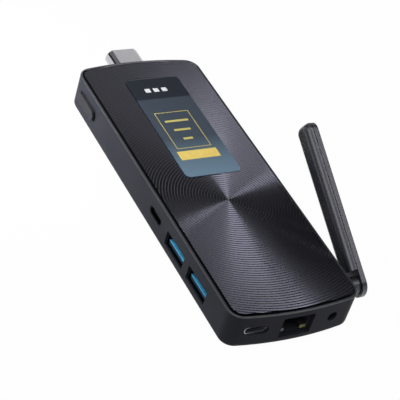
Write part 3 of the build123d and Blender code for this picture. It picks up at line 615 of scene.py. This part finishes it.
def outlinePrism(name, inset, low, high):
    # a mesh prism of the case's outline, its circle of points placed one by one
    outline = caseOutline(inset)
    clearSelection()
    bpy.ops.mesh.primitive_circle_add(vertices=len(outline), radius=1.0, fill_type="NGON")
    prism = bpy.context.object
    prism.name = name
    for vertex, (x, y) in zip(prism.data.vertices, outline):
        vertex.co = (x, y, low)
    bpy.ops.object.mode_set(mode="EDIT")
    bpy.ops.mesh.select_all(action="SELECT")
    bpy.ops.mesh.extrude_region_move(TRANSFORM_OT_translate={"value": (0, 0, high - low)})
    bpy.ops.mesh.select_all(action="SELECT")
    bpy.ops.mesh.normals_make_consistent(inside=False)
    bpy.ops.object.mode_set(mode="OBJECT")
    return prism


# The rings: flat lands and sloping flanks, round a centre on the near side of the middle
ringPlate = {
    "centre": (0.0, -0.0945 * 2 * caseShape["halfLength"]),
    "pitch": 1.115 * mm,
    "crestShare": 0.20,
    "valleyDepth": 0.20 * mm,
    "ledge": 14.4 * mm,
    "crest": 15.8 * mm,
    "inset": 1.5 * mm,
    "segments": 288,
    "weld": 0.001 * mm,
    "cutMargin": 1 * mm,
    "smoothBelow": math.radians(15),
}


def ringProfile():
    # half a section: lands and valleys from the centre outwards, and the flat underside
    crest = ringPlate["crest"]
    pitch = ringPlate["pitch"]
    land = ringPlate["crestShare"] * pitch / 2
    farthest = caseShape["halfLength"] + abs(ringPlate["centre"][1])
    reach = math.hypot(caseShape["halfWidth"], farthest)
    profile = [(0.0, crest)]
    for ring in range(math.ceil(reach / pitch)):
        profile.append((ring * pitch + land, crest))
        profile.append(((ring + 0.5) * pitch, crest - ringPlate["valleyDepth"]))
        profile.append(((ring + 1) * pitch - land, crest))
    profile.append((profile[-1][0], ringPlate["ledge"]))
    profile.append((0.0, ringPlate["ledge"]))
    return profile


def ringedCover():
    # the profile is spun round the rings' centre, then cut to the case's outline
    centreX, centreY = ringPlate["centre"]
    profile = ringProfile()
    clearSelection()
    bpy.ops.mesh.primitive_plane_add(size=1.0)
    disc = bpy.context.object
    bpy.ops.object.mode_set(mode="EDIT")
    bpy.ops.mesh.select_all(action="SELECT")
    bpy.ops.mesh.delete(type="VERT")
    bpy.ops.object.mode_set(mode="OBJECT")
    vertices = [(centreX + x, centreY, z) for x, z in profile]
    edges = [(i, i + 1) for i in range(len(profile) - 1)]
    disc.data.from_pydata(vertices, edges, [])
    bpy.context.view_layer.objects.active = disc
    bpy.ops.object.mode_set(mode="EDIT")
    bpy.ops.mesh.select_all(action="SELECT")
    bpy.ops.mesh.spin(
        steps=ringPlate["segments"],
        angle=math.tau,
        center=(centreX, centreY, 0),
        axis=(0, 0, 1),
    )
    bpy.ops.mesh.select_all(action="SELECT")
    bpy.ops.mesh.remove_doubles(threshold=ringPlate["weld"])
    bpy.ops.mesh.normals_make_consistent(inside=False)
    bpy.ops.object.mode_set(mode="OBJECT")
    prism = outlinePrism(
        "coverCutter",
        ringPlate["inset"],
        ringPlate["ledge"] - ringPlate["cutMargin"],
        ringPlate["crest"] + ringPlate["cutMargin"],
    )
    clearSelection()
    disc.select_set(True)
    bpy.context.view_layer.objects.active = disc
    cut = disc.modifiers.new("cut", "BOOLEAN")
    cut.operation = "INTERSECT"
    cut.solver = "EXACT"
    cut.object = prism
    bpy.ops.object.modifier_apply(modifier="cut")
    bpy.data.objects.remove(prism)
    bpy.ops.object.shade_smooth_by_angle(angle=ringPlate["smoothBelow"])
    return finishPiece("ringedCover", coverPlastic, "case")


# Label: polyester film, reverse printed, so its colours lie under a smooth satin face.
# Its tones run along the film, from pale at the near end to dark in the far band.
labelPrint = {
    "middle": 28.9 * mm,
    "length": 57.0 * mm,
    "top": 16.05 * mm,
    "fade": ((0.0, "#6e879c"), (0.12, "#657d8f"), (0.38, "#404b58")),
    "upper": "#3a434f",
    "bandLow": 45.2 * mm,
    "bandBlend": 0.005,
    "band": "#1c222c",
    "bandEnd": "#1a2029",
    "roughness": 0.32,
    "ior": 1.5,
    "gloss": 0.12,
}


def labelFilmMaterial():
    material, tree, shader = newMaterial("printedPolyesterFilm", {
        "Roughness": labelPrint["roughness"],
        "IOR": labelPrint["ior"],
        "Specular IOR Level": labelPrint["gloss"],
    })
    axes = objectAxes(tree)
    low = labelPrint["middle"] - labelPrint["length"] / 2
    high = low + labelPrint["length"]
    along = addNode(
        tree,
        "ShaderNodeMapRange",
        {"From Min": low, "From Max": high},
        {"Value": (axes, "Y")},
    )
    tone = addNode(tree, "ShaderNodeValToRGB", None, {"Fac": (along, "Result")})
    edge = (labelPrint["bandLow"] - low) / (high - low)
    stops = list(labelPrint["fade"])
    stops.append((edge - labelPrint["bandBlend"], labelPrint["upper"]))
    stops.append((edge + labelPrint["bandBlend"], labelPrint["band"]))
    stops.append((1.0, labelPrint["bandEnd"]))
    setRamp(tone, [(position, linearColour(colour)) for position, colour in stops])
    tree.links.new(tone.outputs["Color"], shader.inputs["Base Color"])
    return material


labelFilm = labelFilmMaterial()

# Screen printed ink: opaque and satin, with flecks a little darker where it lies thin
inkLook = {
    "thickness": 0.02 * mm,
    "roughness": 0.35,
    "ior": 1.5,
    "fleckSize": 2 * mm,
    "fleckDetail": 2.0,
    "darkAt": 0.3,
    "lightAt": 0.7,
    "darkShare": 0.9,
}


def labelInk(name, colour):
    material, tree, shader = newMaterial(name, {
        "Roughness": inkLook["roughness"],
        "IOR": inkLook["ior"],
    })
    place = addNode(tree, "ShaderNodeTexCoord")
    fleck = addNode(
        tree,
        "ShaderNodeTexNoise",
        {"Scale": 1 / inkLook["fleckSize"], "Detail": inkLook["fleckDetail"]},
        {"Vector": (place, "Object")},
    )
    tone = addNode(tree, "ShaderNodeValToRGB", None, {"Fac": (fleck, "Fac")})
    light = linearColour(colour)
    dark = dimmed(light, inkLook["darkShare"])
    setRamp(tone, [(inkLook["darkAt"], dark), (inkLook["lightAt"], light)])
    tree.links.new(tone.outputs["Color"], shader.inputs["Base Color"])
    return material


frameInk = labelInk("goldInkFrame", "#d0c56c")
blockInk = labelInk("yellowInkBlock", "#f6d870")
whiteInk = labelInk("whiteInkMark", "#e6e9ec")


def printedBlock(name, middle, size, material, frameWidth=0.0):
    # a flat print on the film: a solid block, or only its frame where frameWidth is given
    clearSelection()
    bpy.ops.mesh.primitive_plane_add(size=1.0, location=(middle[0], middle[1], labelPrint["top"]))
    bpy.context.object.scale = (size[0], size[1], 1.0)
    bpy.ops.object.transform_apply(location=True, scale=True)
    bpy.ops.object.mode_set(mode="EDIT")
    bpy.ops.mesh.select_all(action="SELECT")
    if frameWidth:
        bpy.ops.mesh.inset(thickness=frameWidth)
        bpy.ops.mesh.delete(type="FACE")
        bpy.ops.mesh.select_all(action="SELECT")
    bpy.ops.mesh.extrude_region_move(TRANSFORM_OT_translate={"value": (0, 0, inkLook["thickness"])})
    bpy.ops.mesh.select_all(action="SELECT")
    bpy.ops.mesh.normals_make_consistent(inside=False)
    bpy.ops.object.mode_set(mode="OBJECT")
    piece = finishPiece(name, material, "case")
    return piece


# The print's parts, all centred on one line along the film: a frame round three bars, a
# block below it, and three square marks in the band
labelParts = {
    "line": 0.3 * mm,
    "frameMiddle": 26.4 * mm,
    "frameSize": (14.6 * mm, 21.0 * mm),
    "frameWidth": 0.28 * mm,
    "blockMiddle": 12.0 * mm,
    "blockSize": (16.6 * mm, 4.8 * mm),
    "barTop": 31.6 * mm,
    "barPitch": 5.2 * mm,
    "barWidths": (10.0 * mm, 7.0 * mm, 4.0 * mm),
    "barHeight": 1.1 * mm,
    "markMiddle": 50.4 * mm,
    "markPitch": 3.6 * mm,
    "markSide": 2.2 * mm,
    "marks": 3,
}
printedBlock(
    "labelFrame",
    (labelParts["line"], labelParts["frameMiddle"]),
    labelParts["frameSize"],
    frameInk,
    labelParts["frameWidth"],
)
printedBlock(
    "labelBlock",
    (labelParts["line"], labelParts["blockMiddle"]),
    labelParts["blockSize"],
    blockInk,
)
for row, width in enumerate(labelParts["barWidths"]):
    middle = (labelParts["line"], labelParts["barTop"] - labelParts["barPitch"] * row)
    printedBlock("labelBar%d" % (row + 1), middle, (width, labelParts["barHeight"]), frameInk)

for column in range(labelParts["marks"]):
    shift = labelParts["markPitch"] * (column - (labelParts["marks"] - 1) / 2)
    middle = (labelParts["line"] + shift, labelParts["markMiddle"])
    size = (labelParts["markSide"], labelParts["markSide"])
    printedBlock("labelMark%d" % (column + 1), middle, size, whiteInk)

print("label printed")

ringedTop = ringedCover()
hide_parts("top_cover")
print("ringed cover made:", len(ringedTop.data.polygons), "faces")

# Finishes for the CAD nodes
finishes = {
    "lower_shell": shellPlastic,
    "main_board": fibreBoard,
    "cover_screws": zincSteel,
    "board_screws": zincSteel,
    "sink_screws": zincSteel,
    "bracket_inserts": turnedBrass,
    "processor": processorLaminate,
    "thermal_pad": padSilicone,
    "heat_sink": extrudedAluminium,
    "memory_chips": chipResin,
    "storage_chip": chipResin,
    "power_coils": ferrite,
    "battery_holder": connectorPlastic,
    "clock_battery": nickelSteel,
    "radio_module": fibreBoard,
    "radio_shield": nickelSteel,
    "lead_plug": goldPlate,
    "antenna_lead": leadJacket,
    "usb_a_shell_1": blackNickel,
    "usb_a_shell_2": blackNickel,
    "usb_a_tongue_1": tonguePlastic,
    "usb_a_tongue_2": tonguePlastic,
    "usb_a_contacts_1": goldPlate,
    "usb_a_contacts_2": goldPlate,
    "usb_c_shell_side": blackNickel,
    "usb_c_shell_end": nickelSteel,
    "usb_c_tongue_side": connectorPlastic,
    "usb_c_tongue_end": connectorPlastic,
    "ethernet_shield": nickelSteel,
    "ethernet_body": jackPlastic,
    "ethernet_contacts": goldPlate,
    "ethernet_lamps": lampPlastic,
    "audio_jack": connectorPlastic,
    "audio_ring": nickelSteel,
    "plug_shell": plugSteel,
    "plug_block": connectorPlastic,
    "plug_contacts": goldPlate,
    "power_button": buttonPlastic,
    "button_light": lightPlastic,
    "power_switch": chipResin,
    "switch_plunger": connectorPlastic,
    "status_lamp": lightPlastic,
    "antenna_hub": antennaPlastic,
    "antenna_pin": zincSteel,
    "antenna_clip": zincSteel,
    "antenna_washer": zincSteel,
    "antenna_paddle": antennaPlastic,
    "antenna_back_cover": antennaPlastic,
    "antenna_element": etchedCopper,
    "cover_label": labelFilm,
}
for node, material in finishes.items():
    giveMaterial(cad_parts[node], material)

print("CAD nodes dressed")

# The camera stands where the photo was taken from
cameraView = {
    "place": (-269.5856 * mm, -341.3639 * mm, 353.3859 * mm),
    "right": (0.86825, -0.43308, 0.24205),
    "up": (0.12331, 0.66094, 0.74024),
    "back": (-0.48057, -0.61286, 0.62726),
    "lens": 135.415,
    "sensor": 36.0,
    "nearest": 0.01,
}
cameraData = bpy.data.cameras.new("photoCamera")
cameraData.lens = cameraView["lens"]
cameraData.sensor_width = cameraView["sensor"]
cameraData.sensor_fit = "HORIZONTAL"
cameraData.clip_start = cameraView["nearest"]
camera = bpy.data.objects.new("photoCamera", cameraData)
bpy.context.collection.objects.link(camera)
turn = Matrix((cameraView["right"], cameraView["up"], cameraView["back"])).transposed().to_4x4()
camera.matrix_world = Matrix.Translation(Vector(cameraView["place"])) @ turn
bpy.context.scene.camera = camera

# The floor shows plain white to the camera, in mirror images and through clear parts, and
# is plain paper to all other light
floorPaper = {
    "size": 30.0,
    "drop": 0.05 * mm,
    "seen": "#ffffff",
    "seenShare": 0.98,
    "glow": 1.0,
    "shaded": "#d8d8da",
}


def paleFloor():
    clearSelection()
    bpy.ops.mesh.primitive_plane_add(size=floorPaper["size"], location=(0, 0, -floorPaper["drop"]))
    floor = bpy.context.object
    floor.name = "studioFloor"
    material = bpy.data.materials.new("paperSweep")
    material.use_nodes = True
    tree = material.node_tree
    tree.nodes.clear()
    path = addNode(tree, "ShaderNodeLightPath")
    paper = addNode(tree, "ShaderNodeBsdfDiffuse", {"Color": linearColour(floorPaper["shaded"])})
    glow = addNode(
        tree,
        "ShaderNodeEmission",
        {"Color": linearColour(floorPaper["seen"]), "Strength": floorPaper["glow"]},
    )
    direct = addNode(
        tree,
        "ShaderNodeMath",
        {"operation": "MAXIMUM"},
        {0: (path, "Is Camera Ray"), 1: (path, "Is Glossy Ray")},
    )
    bright = addNode(
        tree,
        "ShaderNodeMath",
        {"operation": "MAXIMUM"},
        {0: (direct, "Value"), 1: (path, "Is Transmission Ray")},
    )
    seen = addNode(
        tree,
        "ShaderNodeMath",
        {"operation": "MULTIPLY", 1: floorPaper["seenShare"]},
        {0: (bright, "Value")},
    )
    mix = addNode(
        tree,
        "ShaderNodeMixShader",
        None,
        {"Fac": (seen, "Value"), 1: (paper, "BSDF"), 2: (glow, "Emission")},
    )
    addNode(tree, "ShaderNodeOutputMaterial", None, {"Surface": (mix, "Shader")})
    floor.data.materials.append(material)


paleFloor()

# A dim even world keeps the darkest sides from going black
worldLight = {"colour": "#f4f6ff", "strength": 0.05}
world = bpy.data.worlds.new("studioWorld")
bpy.context.scene.world = world
world.use_nodes = True
background = world.node_tree.nodes["Background"]
background.inputs["Color"].default_value = linearColour(worldLight["colour"])
background.inputs["Strength"].default_value = worldLight["strength"]

# Soft boxes, whose mirror images make the light fans of the rings, the lines on the rim and
# the antenna's sheen. The one near the left wall only spreads light over the wall: it isn't
# mirrored, because it would leave a white streak on the rim. All aim at the origin but two.
softBoxes = {
    "fanLeft": {"place": (-0.10, 0.28, 0.80), "size": (0.14, 0.14), "power": 0.30},
    "fanMiddle": {"place": (0.06, 0.05, 0.80), "size": (0.34, 0.20), "power": 0.45},
    "fanRight": {"place": (0.28, -0.08, 0.80), "size": (0.20, 0.27), "power": 0.72},
    "antennaEdge": {"place": (0.54, -0.30, 0.80), "size": (0.24, 0.20), "power": 0.76},
    "antennaSheen": {"place": (-0.50, -0.19, 0.80), "size": (0.90, 0.36), "power": 3.0},
    "leftRim": {"place": (-0.66, 0.66, 0.38), "size": (0.44, 0.36), "power": 0.48},
    "leftWall": {
        "place": (-0.10, 0.10, 0.06),
        "size": (0.04, 0.04),
        "power": 0.19,
        "aim": (-0.026, 0.03, 0),
        "mirrored": False,
    },
    "topGlow": {"place": (0.50, 0.86, 0.66), "size": (0.36, 0.36), "power": 0.46},
    "nearRim": {
        "place": (0.47, -0.74, 0.28),
        "size": (0.26, 0.26),
        "power": 0.36,
        "aim": (0.03, -0.04, 0.04),
    },
}
for name, box in softBoxes.items():
    lampData = bpy.data.lights.new(name, "AREA")
    lampData.shape = "RECTANGLE"
    lampData.size, lampData.size_y = box["size"]
    lampData.energy = box["power"]
    lamp = bpy.data.objects.new(name, lampData)
    bpy.context.collection.objects.link(lamp)
    lamp.location = box["place"]
    lamp.visible_camera = False
    lamp.visible_glossy = box.get("mirrored", True)
    aim = Vector(box.get("aim", (0, 0, 0))) - Vector(box["place"])
    lamp.rotation_euler = aim.to_track_quat("-Z", "Y").to_euler()

print("studio ready")

bpy.context.scene.view_settings.view_transform = "Standard"
